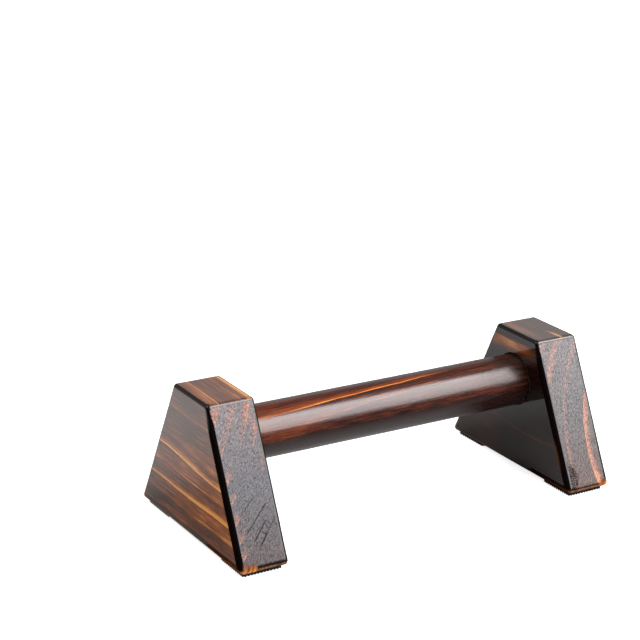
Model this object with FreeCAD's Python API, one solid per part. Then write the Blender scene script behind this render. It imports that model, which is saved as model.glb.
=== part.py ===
"""Low wooden parallette: a round grip bar held between two tapered end blocks.

Each end of the bar is glued into a blind socket in its block and locked by a
countersunk wood screw driven up from the underside. Ribbed rubber pads, stuck
on with double-sided tape, carry the blocks.

Frame: X along the bar, Y across the blocks, Z up, origin on the floor under
the middle of the bar. All lengths are millimetres and all angles degrees.
"""

import FreeCAD, Part
import math
import os

# Whole stand
overall_length = 320.0  # outer face to outer face of the end blocks

# End block
block_thickness = 38.0
block_base = 155.0  # length of the underside before its edges are rounded
block_crown = 50.0  # length of the top before its edges are rounded
block_height = 107.0
block_edge_radius = 3.0

# Grip bar and its sockets
bar_diameter = 40.0
bar_cover = 18.0  # wood above the bar, up to the block's top
bar_end_chamfer = 1.0
socket_floor = 10.0  # wood left behind the socket
socket_mouth_chamfer = 0.8
socket_end_gap = 0.2
glue_gap = 0.1  # radial room for glue round the bar's end

# Locking screw
screw_bite = 17.0  # depth of screw inside the bar
screw_set_back = 13.5  # from the socket's floor to the screw's axis
screw_shank_diameter = 3.0
screw_core_diameter = 2.6  # root of the thread
screw_thread_diameter = 4.2
screw_thread_length = 38.0
screw_tip_length = 5.0
screw_head_diameter = 8.4
screw_head_rim = 0.3
screw_head_recess = 0.7  # from the block's underside up to the head's face
screw_seat_gap = 0.05  # between the head's cone and its countersink
screw_hole_gap = 0.2  # radial, round the thread in the block
pilot_hole_gap = 0.05  # radial, round the core in the bar
pilot_end_gap = 0.5  # beyond the screw's tip

# Cross recess in the screw's head
drive_span = 4.6
drive_wing = 1.1
drive_depth = 2.4
drive_floor_span = 1.6
drive_floor_wing = 0.7
drive_turn = 18.0  # about the screw's axis

# Foot pads and their tape
pad_length = 32.0
pad_thickness = 2.5  # over the ribs
pad_corner_radius = 1.5
pad_side_margin = 0.5  # from the underside's rounded long edges
pad_end_margin = 0.8  # from the underside's rounded ends
tape_thickness = 0.5
rib_crest = 0.7
rib_groove = 0.6
rib_flank = 0.25
rib_depth = 0.6
rib_turn = 45.0  # from the bar's axis

# Places that follow from the sizes above
UP = FreeCAD.Vector(0, 0, 1)
ALONG_BAR = FreeCAD.Vector(1, 0, 0)
ORIGIN = FreeCAD.Vector(0, 0, 0)
HALF_TURN = 180.0
TOOL_LEAD = 5.0  # how far a cutting tool starts outside the face it enters
PARALLEL = 1e-6  # largest sine between directions taken as parallel

underside = pad_thickness + tape_thickness
outer_face = overall_length / 2
inner_face = outer_face - block_thickness
socket_end = outer_face - socket_floor
bar_axis = underside + block_height - bar_cover - bar_diameter / 2
bar_end = socket_end - socket_end_gap
screw_axis = socket_end - screw_set_back
screw_face = underside + screw_head_recess
screw_tip = bar_axis - bar_diameter / 2 + screw_bite


def frustum(low_radius, high_radius, low, high, centre_x):
    """Upright cone or cylinder between two heights on the vertical line at centre_x."""
    place = FreeCAD.Vector(centre_x, 0, low)
    if math.isclose(low_radius, high_radius):
        return Part.makeCylinder(low_radius, high - low, place, UP)
    return Part.makeCone(low_radius, high_radius, high - low, place, UP)


def blank_block():
    """Trapezium carried along the bar's axis, with every edge rounded alike."""
    top = underside + block_height
    corners = [
        FreeCAD.Vector(inner_face, -block_base / 2, underside),
        FreeCAD.Vector(inner_face, block_base / 2, underside),
        FreeCAD.Vector(inner_face, block_crown / 2, top),
        FreeCAD.Vector(inner_face, -block_crown / 2, top),
    ]
    outline = Part.Face(Part.makePolygon(corners + corners[:1]))
    prism = outline.extrude(ALONG_BAR * block_thickness)
    return prism.makeFillet(block_edge_radius, prism.Edges)


def socket_tool():
    """Blind round socket for the bar, with a chamfered mouth in the inner face."""
    radius = bar_diameter / 2 + glue_gap
    mouth = FreeCAD.Vector(inner_face, 0, bar_axis)
    bore = Part.makeCylinder(radius, socket_end - inner_face, mouth, ALONG_BAR)
    chamfer = Part.makeCone(radius + socket_mouth_chamfer, radius, socket_mouth_chamfer, mouth, ALONG_BAR)
    return bore.fuse(chamfer)


def screw_hole_tool():
    """Clearance hole from the underside into the socket, with a countersink for the head."""
    hole_radius = screw_thread_diameter / 2 + screw_hole_gap
    head_radius = screw_head_diameter / 2 + screw_seat_gap
    seat = screw_face + screw_head_rim
    mouth_radius = head_radius + seat - underside
    hole = frustum(hole_radius, hole_radius, underside - TOOL_LEAD, bar_axis, screw_axis)
    sink_top = underside + mouth_radius - hole_radius
    sink = frustum(mouth_radius, hole_radius, underside, sink_top, screw_axis)
    return hole.fuse(sink)


def end_block():
    """Right-hand end block with its socket and screw hole."""
    return blank_block().cut(socket_tool()).cut(screw_hole_tool())


def grip_bar():
    """Round bar with chamfered ends and a pilot hole under each end."""
    start = FreeCAD.Vector(-bar_end, 0, bar_axis)
    bar = Part.makeCylinder(bar_diameter / 2, 2 * bar_end, start, ALONG_BAR)
    rims = [edge for edge in bar.Edges if edge.Closed]
    bar = bar.makeChamfer(bar_end_chamfer, rims)
    pilot_radius = screw_core_diameter / 2 + pilot_hole_gap
    pilot_low = bar_axis - bar_diameter / 2 - TOOL_LEAD
    for place in (-screw_axis, screw_axis):
        bar = bar.cut(frustum(pilot_radius, pilot_radius, pilot_low, screw_tip + pilot_end_gap, place))
    return bar


def drive_wedge(turn):
    """One wing of the cross recess: a rectangle that narrows towards the recess's floor."""

    def rectangle(length, width, height):
        corners = [
            FreeCAD.Vector(sx * length / 2, sy * width / 2, height)
            for sx, sy in ((-1, -1), (1, -1), (1, 1), (-1, 1))
        ]
        return Part.makePolygon(corners + corners[:1])

    mouth = rectangle(drive_span, drive_wing, 0)
    floor = rectangle(drive_floor_span, drive_floor_wing, drive_depth)
    wedge = Part.makeLoft([mouth, floor], True, True)
    wedge.rotate(ORIGIN, UP, turn)
    wedge.translate(FreeCAD.Vector(screw_axis, 0, screw_face))
    return wedge


def bar_screw():
    """Right-hand countersunk screw: half profile turned about its axis, then the cross recess."""
    head_radius = screw_head_diameter / 2
    shank_radius = screw_shank_diameter / 2
    core_radius = screw_core_diameter / 2
    neck = screw_face + screw_head_rim + head_radius - shank_radius
    profile = [
        (0, screw_face),
        (head_radius, screw_face),
        (head_radius, screw_face + screw_head_rim),
        (shank_radius, neck),
        (shank_radius, screw_tip - screw_thread_length),
        (core_radius, screw_tip - screw_thread_length),
        (core_radius, screw_tip - screw_tip_length),
        (0, screw_tip),
    ]
    points = [FreeCAD.Vector(screw_axis + radius, 0, height) for radius, height in profile]
    half = Part.Face(Part.makePolygon(points + points[:1]))
    turned = half.revolve(FreeCAD.Vector(screw_axis, 0, 0), UP, 2 * HALF_TURN)
    return turned.cut(drive_wedge(drive_turn)).cut(drive_wedge(drive_turn + HALF_TURN / 2))


def pad_width():
    """Width of a pad: the flat of the underside less a margin at each long edge."""
    return block_thickness - 2 * (block_edge_radius + pad_side_margin)


def pad_centre_y():
    """Distance of a pad's centre from the bar's axis, so that its end stays on the underside's flat."""
    lean = math.atan2(block_height, (block_base - block_crown) / 2)
    rounded = block_edge_radius / math.tan(lean / 2)
    return block_base / 2 - rounded - pad_end_margin - pad_length / 2


def pad_blank(low, high):
    """Plain pad between two heights: a rectangle with rounded corners."""
    width = pad_width()
    corner = FreeCAD.Vector(-width / 2, -pad_length / 2, low)
    box = Part.makeBox(width, pad_length, high - low, corner)
    uprights = [edge for edge in box.Edges if edge.Curve.Direction.cross(UP).Length < PARALLEL]
    return box.makeFillet(pad_corner_radius, uprights)


def rib_comb():
    """Sheet with ribs below: one comb profile carried along the ribs, wider than any pad."""
    pitch = rib_crest + rib_groove + 2 * rib_flank
    reach = pad_width() + pad_length
    count = math.ceil(reach / 2 / pitch)
    points = []
    for number in range(-count, count + 1):
        middle = number * pitch
        points += [
            (middle - rib_crest / 2 - rib_flank, rib_depth),
            (middle - rib_crest / 2, 0),
            (middle + rib_crest / 2, 0),
            (middle + rib_crest / 2 + rib_flank, rib_depth),
        ]
    points += [(points[-1][0], pad_thickness), (points[0][0], pad_thickness)]
    vectors = [FreeCAD.Vector(-reach / 2, across, height) for across, height in points]
    comb = Part.Face(Part.makePolygon(vectors + vectors[:1])).extrude(ALONG_BAR * reach)
    comb.rotate(ORIGIN, UP, rib_turn)
    return comb


def at_pad_place(shape, end):
    """Copy of a pad or tape under the right-hand block, at its front (-1) or rear (1) end."""
    placed = shape.copy()
    placed.translate(FreeCAD.Vector((inner_face + outer_face) / 2, end * pad_centre_y(), 0))
    return placed


def turned_about(shape):
    """The same piece at the other end of the stand."""
    other = shape.copy()
    other.rotate(ORIGIN, UP, HALF_TURN)
    return other


def all_pieces():
    """Every piece of the stand by its node's name."""
    block = end_block()
    screw = bar_screw()
    pad = rib_comb().common(pad_blank(0, pad_thickness))
    tape = pad_blank(pad_thickness, underside)
    pieces = {
        "grip_bar": grip_bar(),
        "right_end_block": block,
        "left_end_block": turned_about(block),
        "right_bar_screw": screw,
        "left_bar_screw": turned_about(screw),
    }
    for end, right_name, left_name in ((-1, "front", "rear"), (1, "rear", "front")):
        for shape, kind in ((pad, "foot_pad"), (tape, "pad_tape")):
            placed = at_pad_place(shape, end)
            pieces[f"right_{right_name}_{kind}"] = placed
            pieces[f"left_{left_name}_{kind}"] = turned_about(placed)
    return pieces


def main():
    os.makedirs("parts", exist_ok=True)
    for name, shape in all_pieces().items():
        if not shape.isValid() or len(shape.Solids) != 1:
            raise ValueError(f"{name} is not one valid solid")
        shape.Solids[0].exportStep(os.path.join("parts", name + ".step"))
        print(f"{name}: {shape.Volume / 1000:.2f} cm3, {len(shape.Faces)} faces")


main()
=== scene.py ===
"""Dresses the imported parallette: lacquered wooden blocks and bar, ribbed rubber feet, dark screws."""

import math

import bmesh
import bpy
import numpy as np
from bpy.props import FloatProperty, FloatVectorProperty, PointerProperty
from mathutils import Matrix, Vector


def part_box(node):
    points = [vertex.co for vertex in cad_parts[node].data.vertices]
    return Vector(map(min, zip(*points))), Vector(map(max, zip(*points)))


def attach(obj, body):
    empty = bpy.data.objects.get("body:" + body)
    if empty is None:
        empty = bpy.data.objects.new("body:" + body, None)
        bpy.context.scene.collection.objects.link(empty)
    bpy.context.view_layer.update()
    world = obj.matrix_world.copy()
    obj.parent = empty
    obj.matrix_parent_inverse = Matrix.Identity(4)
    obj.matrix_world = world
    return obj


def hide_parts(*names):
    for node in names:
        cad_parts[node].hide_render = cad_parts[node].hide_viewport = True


bl_info = {
    "name": "Wooden Parallette",
    "version": (1, 0, 0),
    "blender": (4, 5, 0),
    "location": "3D View > Sidebar > Parallette",
    "description": "Builds the blocks, grip bar, screws and ribbed feet of a low wooden parallette",
    "category": "Add Mesh",
}

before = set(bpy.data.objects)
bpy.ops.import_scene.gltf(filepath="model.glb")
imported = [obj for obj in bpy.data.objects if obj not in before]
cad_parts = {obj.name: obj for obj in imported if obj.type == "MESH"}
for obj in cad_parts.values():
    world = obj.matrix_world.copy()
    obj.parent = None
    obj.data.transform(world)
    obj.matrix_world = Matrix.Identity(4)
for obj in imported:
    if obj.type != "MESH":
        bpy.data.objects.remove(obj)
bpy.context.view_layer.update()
BODY = "root"
MILLIMETRE = 0.001

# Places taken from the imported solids
BLOCK_LOW, BLOCK_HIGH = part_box("right_end_block")
BAR_LOW, BAR_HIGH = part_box("grip_bar")
SCREW_LOW, SCREW_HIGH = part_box("right_bar_screw")
BAR_AXIS = (BAR_LOW.z + BAR_HIGH.z) / 2
BAR_RADIUS = (BAR_HIGH.z - BAR_LOW.z) / 2
SCREW_AXIS = (SCREW_LOW.x + SCREW_HIGH.x) / 2
SCREW_HEAD_RADIUS = (SCREW_HIGH.x - SCREW_LOW.x) / 2

FOOT_PLACES = ("right_front", "right_rear", "left_front", "left_rear")

# Wood of each piece, in millimetres. "heart" is where the tree's heart lies in the plane across the
# grain, and "lines" gives each late-wood line's radius, its strength, and the widths of its soft side
# and of its bright core. A tuple of four numbers is a range of a coordinate and the values at its ends.
LEFT_BLOCK_WOOD = {
    "heart": (-264.4, 0.0, 160.9),
    "low_face": -160.0,
    "lines": (
        (125.1, 0.36, 8.0, 1.2),
        (141.0, 0.20, 7.0, 1.5),
        (148.3, 1.00, 4.2, 0.55),
        (156.1, 0.33, 7.2, 1.0),
        (165.8, 1.00, 3.2, 0.55),
        (175.3, 0.30, 9.0, 2.0),
        (184.1, 0.28, 5.0, 0.8),
        (206.0, 0.75, 4.0, 0.9),
    ),
    "end_lines": (
        (125.1, 0.70, 8.0, 1.6),
        (136.1, 0.55, 6.0, 1.2),
        (147.0, 1.00, 6.0, 1.0),
        (156.1, 0.70, 5.0, 1.2),
        (165.8, 1.00, 5.5, 1.0),
        (175.3, 0.70, 8.0, 2.0),
        (184.1, 0.70, 6.0, 2.0),
        (201.0, 0.35, 4.0, 1.5),
    ),
    "bend": (-1.0, 2.8),
    "inner_painted_shadow": 0.0,
    "inner_line": 0.0,
    "painted_sheen_share": 0.25,
    "wander": 2.6,
    "figure": 0.85,
    "crown": (1.2, 0.17),
    "crown_streak": 0.0,
    "base": ((8.0, 0.18), (20.0, 0.33), (32.0, 0.35), (55.0, 0.33), (80.0, 0.29), (100.0, 0.18)),
    "base_by_length": (-55.0, 60.0, 1.2, 0.8),
    "lines_painted_light_by_height": (0.0, 110.0, 1.0, 1.0),
    "lines_painted_light_by_length": (-80.0, 80.0, 1.0, 1.0),
    # Greys of the end grain at the bottom, middle and top: dark stain with painted sheen, lighter upwards
    # as painted light
    "end_greys_with_painted_sheen": ((0.110, 0.090, 0.092), (0.136, 0.133, 0.143), (0.198, 0.172, 0.178)),
    "end_middle": -141.0,
    "end_fade": (78.0, 102.0, 0.08, 0.8),
    "end_inner_fade": ((8.0, 0.4), (20.0, 0.3), (30.0, 0.0), (54.0, 0.0), (76.0, 0.55)),
    "end_glow": (-129.5, 97.0, 6.0, 13.0),
    "end_glow_strength": 0.16,
    "ring_turn": 0.82,
    "cracks": (
        (-138.5, 49.9, -152.0, 39.3, 0.45, 0.6),
        (-131.0, 44.0, -149.7, 28.3, 0.50, 0.8),
        (-133.5, 33.9, -145.0, 22.9, 0.55, 0.9),
        (-125.0, 35.5, -130.2, 30.5, 0.45, 0.6),
        (-130.2, 30.5, -135.0, 25.6, 0.50, 0.7),
        (-135.0, 25.6, -140.2, 20.2, 0.75, 1.0),
        (-140.2, 20.2, -143.0, 16.6, 0.45, 0.6),
        (-137.6, 27.0, -134.9, 25.2, 0.60, 0.9),
        (-133.4, 34.1, -130.5, 31.0, 0.40, 0.5),
        (-128.5, 32.3, -126.0, 30.1, 0.40, 0.5),
        (-130.0, 24.3, -129.0, 22.5, 0.40, 0.5),
        (-140.0, 29.0, -137.5, 26.8, 0.40, 0.4),
        (-135.1, 32.3, -131.8, 28.7, 0.40, 0.6),
    ),
    "crumble_place": (-160.0, 0.0, 0.0),
    "crumble": 0.0,
    "foot_corner": (-147.0, -148.2),
    "foot_dark": 8.4,
    "foot_sanded": 6.3,
    "edge_glow": 0.0,
}
RIGHT_BLOCK_WOOD = {
    "heart": (244.0, 0.0, 30.0),
    "low_face": 122.0,
    "lines": (
        (96.0, 0.35, 5.0, 2.0),
        (115.0, 0.80, 4.0, 0.9),
        (131.0, 0.36, 6.0, 3.2),
        (142.2, 0.78, 9.0, 7.5),
    ),
    "end_lines": (
        (96.5, 0.80, 5.0, 2.2),
        (115.0, 0.22, 4.0, 1.3),
        (131.0, 0.30, 6.0, 3.0),
        (142.2, 0.10, 9.0, 7.5),
    ),
    "bend": (0.0, 0.0),
    # Depth of the painted shadow on the inner face below the bar
    "inner_painted_shadow": 0.78,
    "inner_line": 0.13,
    "painted_sheen_share": 0.34,
    "wander": 0.3,
    "figure": 0.5,
    "crown": (0.42, 0.07),
    "crown_streak": 0.62,
    "base": ((8.0, 0.06), (32.0, 0.05), (55.0, 0.03), (80.0, 0.0)),
    "base_by_length": (-55.0, 60.0, 1.0, 1.0),
    # On the inner face the lines dim as painted shade below the bar's shadow line and towards the front,
    # and brighten as painted light towards the rear
    "lines_painted_light_by_height": (87.0, 97.0, 0.1, 1.0),
    "lines_painted_light_by_length": (-30.0, 2.0, 0.3, 1.2),
    "end_greys_with_painted_sheen": ((0.126, 0.096, 0.090), (0.135, 0.128, 0.131), (0.180, 0.164, 0.168)),
    "end_middle": 141.0,
    "end_fade": (0.0, 110.0, 0.85, 0.85),
    "end_inner_fade": ((0.0, 0.625), (110.0, 0.625)),
    "end_glow": (152.5, 8.0, 4.0, 12.0),
    "end_glow_strength": 0.3,
    "ring_turn": 1.2,
    "cracks": (),
    "crumble_place": (126.4, 0.0, 14.0),
    "crumble": 1.0,
    "foot_corner": (151.5, 153.5),
    "foot_dark": 7.6,
    "foot_sanded": 6.4,
    "edge_glow": 0.22,
}
BAR_WOOD = {
    "heart": (400.0, 0.0, BAR_AXIS / MILLIMETRE),
    "lines": (
        (384.5, 0.55, 5.0, 0.9),
        (391.0, 0.60, 4.5, 0.9),
        (398.5, 0.16, 5.0, 0.9),
        (407.7, 0.80, 5.0, 0.8),
        (414.9, 0.20, 4.0, 1.2),
        (426.0, 0.35, 2.5, 0.9),
    ),
}


# Surfaces

# Points and steps of the grids, and how closely the blocks' rows gather towards an edge
SLOPE_POINTS, CROWN_POINTS, FOOT_POINTS = 57, 25, 31
CORNER_STEPS, EDGE_STEPS = 10, 8
FACE_STEPS, FACE_GATHER = 28, 1.7
SOCKET_STEPS, SOCKET_GATHER = 20, 1.6
PATCH_STEPS, HOLE_STEPS = 16, 8
TO_PATCH_POINTS, FROM_PATCH_POINTS = 8, 5
BAR_ALONG, BAR_AROUND = 141, 144
ROWS_PER_TURN, RIDGE_HALF = 10, 0.26  # of the screws' thread; half the ridge's width, in pitches
PAD_AROUND, PAD_ALONG = 240, 9

HOLE_WALL, HOLE_POLE = 0.046, 0.048  # heights above the underside, just below the socket
FAR_FROM_EDGE = 30.0  # millimetres, for points inside the screw hole
CLOSE = 1e-6  # smaller differences are rounding


def trapezium_outline(half_base, half_crown, low, high, radius, foot_steps):
    """Skeleton points and outward directions round a rounded trapezium in the YZ plane.

    The skeleton is the trapezium moved in by the corner radius. Along a side the point moves and
    the direction stays; at a corner the point stays and the direction turns. The rounded outline
    is the skeleton plus the radius times the direction.
    """
    lean = (half_base - half_crown) / (high - low)
    inset = radius * math.hypot(1.0, lean)
    low_half = half_base - lean * radius - inset
    high_half = half_crown + lean * radius - inset
    z_low, z_high = low + radius, high - radius
    corners = np.array([[-low_half, z_low], [low_half, z_low], [high_half, z_high], [-high_half, z_high]])
    rise = math.atan(lean)
    turns = np.array([-math.pi / 2, rise, math.pi / 2, math.pi - rise, 3 * math.pi / 2])
    slope_steps = np.linspace(0.0, 1.0, SLOPE_POINTS)
    crown_steps = np.linspace(0.0, 1.0, CROWN_POINTS)
    corner_steps = np.arange(1, CORNER_STEPS) / CORNER_STEPS
    points, angles = [], []
    for side, steps in enumerate((foot_steps, slope_steps, crown_steps, slope_steps)):
        start, end = corners[side], corners[(side + 1) % 4]
        turn, next_turn = turns[side : side + 2]
        points += [start + np.outer(steps, end - start), np.repeat(end[None], len(corner_steps), axis=0)]
        angles += [np.full(len(steps), turn), turn + corner_steps * (next_turn - turn)]
    angle = np.concatenate(angles)
    return np.concatenate(points), np.stack([np.cos(angle), np.sin(angle)], axis=1)


def sheet_faces(ids):
    """Quads between neighbouring rows and columns of a grid of point numbers."""
    return np.stack([ids[:-1, :-1], ids[1:, :-1], ids[1:, 1:], ids[:-1, 1:]], axis=-1).reshape(-1, 4)


def ring_faces(ids):
    """Quads between rows of point numbers, where each row is a closed ring."""
    return sheet_faces(np.concatenate([ids, ids[:, :1]], axis=1))


def fan_faces(loop, pole):
    """Triangles from each edge of a closed loop to one pole."""
    return np.stack([loop, np.roll(loop, -1), np.full_like(loop, pole)], axis=1)


def border(ids):
    """Point numbers round the edge of a grid, in order."""
    return np.concatenate([ids[:-1, 0], ids[-1, :-1], ids[:0:-1, -1], ids[0, :0:-1]])


def placed(x, y, z):
    """Rows of points from three coordinates that fit each other's shape."""
    return np.stack(np.broadcast_arrays(x, y, z), axis=-1)


def square_round(across, along):
    """Even angle round a square: equal steps along its edge become equal turns.

    On the right-hand edge the angle is an eighth of a turn times along over across, and the other
    three edges follow a quarter turn apart.
    """
    eighth = math.pi / 4
    with np.errstate(divide="ignore", invalid="ignore"):
        upright = np.abs(across) >= np.abs(along)
        side = np.where(across >= 0, 0.0, math.pi) + eighth * along / across
        level = np.where(along >= 0, math.pi / 2, -math.pi / 2) - eighth * across / along
    return np.where(upright, side, level)


def hand_finish(points, directions, height):
    """Moves points out by a sum of slow sine waves, as sanding by hand leaves a flat face."""
    x, y, z = (points / MILLIMETRE).T
    swell = np.sin(0.21 * x + 0.09 * y - 0.16 * z + 0.7)
    swell = swell + 0.7 * np.sin(0.13 * y - 0.27 * z + 0.11 * x + 2.1)
    swell = swell + 0.5 * np.sin(0.31 * z + 0.07 * y + 0.23 * x + 4.0)
    return points + directions * (height * swell)[:, None]


def block_surface(sizes):
    """Right-hand end block: points, faces, and three measures for its finish.

    The rounded trapezium is carried along the bar's axis. On the outer face its skeleton shrinks
    to a pole, at the edges it swells out by the sine of the round's angle, and on the inner face
    it turns into the socket's circle, which goes on to the socket's floor. In the underside a
    square patch of the grid is drawn in to a circle, whose rows go up the countersunk screw hole.
    The measures are the distance to the nearest edge, the share of end grain and the upward facing.
    """
    inner, outer = BLOCK_LOW.x, BLOCK_HIGH.x
    low, high = BLOCK_LOW.z, BLOCK_HIGH.z
    radius, patch = sizes.edge_radius, sizes.hole_patch
    half_base, half_crown = sizes.base_length / 2, sizes.crown_length / 2
    lean = (half_base - half_crown) / (high - low)
    slant = math.hypot(1.0, lean)
    foot_half = half_base - lean * radius - radius * slant
    near = np.linspace(-patch, patch, PATCH_STEPS + 1)
    far = np.linspace(patch, foot_half, FOOT_POINTS)[1:]
    foot = np.concatenate([-far[::-1], near, far])
    skeleton, direction = trapezium_outline(
        half_base, half_crown, low, high, radius, (foot + foot_half) / (2 * foot_half)
    )
    middle = np.array([0.0, BAR_AXIS])
    socket_turn = np.arctan2(skeleton[:, 1] - BAR_AXIS, skeleton[:, 0])
    round_out = np.stack([np.cos(socket_turn), np.sin(socket_turn)], axis=1)
    socket_radius = BAR_RADIUS + sizes.glue_gap
    mouth_circle = middle + (socket_radius + sizes.mouth_chamfer) * round_out
    socket_circle = middle + socket_radius * round_out

    grow = 1 - (1 - np.linspace(0.0, 1.0, FACE_STEPS + 1)[1:]) ** FACE_GATHER
    bend = np.linspace(0.0, math.pi / 2, EDGE_STEPS + 1)[1:]
    sine, cosine = np.sin(bend), np.cos(bend)
    to_patch = np.linspace(outer - radius, SCREW_AXIS + patch, TO_PATCH_POINTS)[1:-1]
    over_patch = np.linspace(SCREW_AXIS + patch, SCREW_AXIS - patch, PATCH_STEPS + 1)
    from_patch = np.linspace(SCREW_AXIS - patch, inner + radius, FROM_PATCH_POINTS)[1:]
    straight = np.concatenate([to_patch, over_patch, from_patch])
    blend = np.linspace(0.0, 1.0, SOCKET_STEPS + 1)[1:] ** SOCKET_GATHER
    bore = inner + np.array([sizes.mouth_chamfer, 0.3 * sizes.socket_depth, sizes.socket_depth])

    def by_row(values):
        return values[:, None, None]

    # Bands of rows: outlines, places along the bar, and shares of both directions in the normal
    inward = by_row(1 - blend) * skeleton + by_row(blend) * mouth_circle
    bands = (
        (middle + (skeleton - middle) * by_row(grow), outer + 0 * grow, 0 * grow, 0 * grow + 1),
        (skeleton + radius * by_row(sine) * direction, outer - radius + radius * cosine, sine, cosine),
        (skeleton + radius * direction + by_row(0 * straight), straight, 0 * straight + 1, 0 * straight),
        (skeleton + radius * by_row(cosine) * direction, inner + radius - radius * sine, cosine, -sine),
        (inward, inner + 0 * blend, 0 * blend, 0 * blend - 1),
        (socket_circle + by_row(0 * bore), bore, 0 * bore, 0 * bore),
    )
    outline, place, lift, facing = (np.concatenate(band) for band in zip(*bands))
    grid = placed(place[:, None], outline[..., 0], outline[..., 1])
    normals = placed(facing[:, None], *(by_row(lift) * direction).transpose(2, 0, 1)).reshape(-1, 3)

    # Square patch of the underside drawn in to the countersink's circle
    first_row, first_column = len(grow) + len(bend) + len(to_patch), len(far)
    window = np.s_[first_row : first_row + PATCH_STEPS + 1, first_column : first_column + PATCH_STEPS + 1]
    flat = grid[window]
    across, along = (flat[..., 0] - SCREW_AXIS) / patch, flat[..., 1] / patch
    reach = np.maximum(np.abs(across), np.abs(along))
    turn = square_round(across, along)
    ring = HOLE_STEPS / PATCH_STEPS
    share = np.clip((reach - ring) / (1 - ring), 0.0, 1.0)
    out = share * patch / np.maximum(reach, CLOSE)
    sink = (1 - share) * sizes.sink_radius
    flat[..., 0] = SCREW_AXIS + sink * np.cos(turn) + out * across
    flat[..., 1] = sink * np.sin(turn) + out * along

    ids = np.arange(place.size * len(skeleton)).reshape(place.size, -1)
    inside = np.zeros(ids.shape, bool)
    inside[window] = reach <= ring + CLOSE
    quads = ring_faces(ids)
    quads = quads[~inside.reshape(-1)[quads].all(axis=1)]
    points = grid.reshape(-1, 3)
    x, y, z = points.T
    flank = half_base - lean * (z - low)
    depths = np.stack([outer - x, x - inner, z - low, high - z, (flank - y) / slant, (flank + y) / slant])
    edge = np.sort(depths, axis=0)[1] / MILLIMETRE
    points = hand_finish(points, normals, sizes.sanding_wave)

    # Rows up the screw hole, from the circle in the underside to a pole below the socket
    rim = np.abs(reach - ring) < CLOSE
    order = np.argsort(np.mod(turn[rim], 2 * math.pi))
    loop, hole_turn = ids[window][rim][order], turn[rim][order]
    hole_radius = sizes.hole_radius
    heights = low + np.array([[sizes.sink_radius - hole_radius], [HOLE_WALL]])
    hole = placed(SCREW_AXIS + hole_radius * np.cos(hole_turn), hole_radius * np.sin(hole_turn), heights)
    hole_ids = ids.size + np.arange(heights.size * len(loop)).reshape(-1, len(loop))
    hole_ids = np.concatenate([loop[None], hole_ids])
    poles = [[outer, *middle], [inner + sizes.socket_depth, *middle], [SCREW_AXIS, 0.0, low + HOLE_POLE]]
    pole = hole_ids.max() + 1
    points = np.concatenate([points, hole.reshape(-1, 3), poles])
    hidden = np.zeros(len(points) - ids.size)
    measures = {
        "edge": np.append(edge, hidden + FAR_FROM_EDGE),
        "end_grain": np.append(np.abs(normals[:, 1]), hidden),
        "upward": np.append(normals[:, 2], hidden),
    }
    fans = [fan_faces(ids[0], pole), fan_faces(ids[-1], pole + 1), fan_faces(hole_ids[-1], pole + 2)]
    return points, [np.concatenate([quads, ring_faces(hole_ids)]), np.concatenate(fans)], measures


def bar_surface(sizes):
    """Grip bar: a circle carried along the X axis, smaller at the chamfered ends, closed by poles.

    The radius has a swell of a few hundredths of a millimetre along and round the bar.
    """
    end, chamfer = BAR_HIGH.x, sizes.end_chamfer
    x = np.concatenate([[-end], np.linspace(-end + chamfer, end - chamfer, BAR_ALONG), [end]])[:, None]
    turn = np.linspace(0.0, 2 * math.pi, BAR_AROUND, endpoint=False)
    wave = np.sin(2 * turn + 24.0 * x + 0.4) + 0.8 * np.sin(5 * turn - 61.0 * x)
    wave = wave + 0.6 * np.sin(95.0 * x + 3 * turn + 1.9)
    radius = BAR_RADIUS + sizes.turning_wave * wave
    radius[[0, -1]] -= chamfer
    rings = placed(x, radius * np.cos(turn), BAR_AXIS + radius * np.sin(turn))
    ids = np.arange(radius.size).reshape(radius.shape)
    poles = [[-end, 0.0, BAR_AXIS], [end, 0.0, BAR_AXIS]]
    fans = [fan_faces(ids[0], ids.size), fan_faces(ids[-1], ids.size + 1)]
    return np.concatenate([rings.reshape(-1, 3), poles]), [ring_faces(ids), np.concatenate(fans)], {}


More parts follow.
